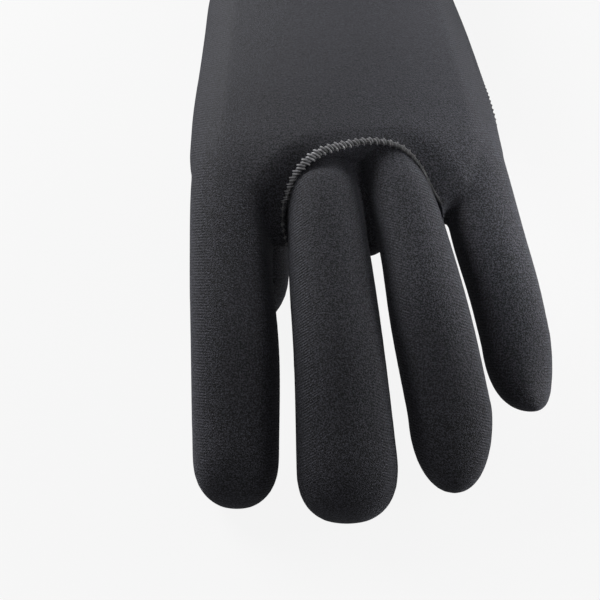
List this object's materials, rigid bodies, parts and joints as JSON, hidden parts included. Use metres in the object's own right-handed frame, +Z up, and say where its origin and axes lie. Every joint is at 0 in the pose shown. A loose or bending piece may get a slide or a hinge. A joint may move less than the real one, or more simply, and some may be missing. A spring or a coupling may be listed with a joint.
{
  "type": "ice bathing glove",
  "caption": "Thick neoprene winter bathing glove for the left hand, lying palm down with curved fingers, an arc seam over the knuckles, a folded-under thumb and an open cuff.",
  "frame": {"origin": "centre of the footprint's bounding box, on the surface that the glove lies on", "axes": "+Y from the fingertips to the cuff, +X towards the little finger, +Z up from the palm to the back of the hand"},
  "size_m": [0.1304, 0.2842, 0.0635],
  "materials": {
    "neoprene": "black nylon knit over neoprene foam, matt",
    "inset_neoprene": "black ribbed nylon knit over neoprene foam, matt",
    "thread": "black nylon sewing thread, slight sheen",
    "strap_webbing": "black woven webbing"
  },
  "bodies": {
    "root": {"hand_panel": "neoprene", "finger_inset": "inset_neoprene", "thumb": "neoprene", "wrist_strap": "strap_webbing", "arc_seam": "thread", "side_seam": "thread"}
  },
  "joints": []
}
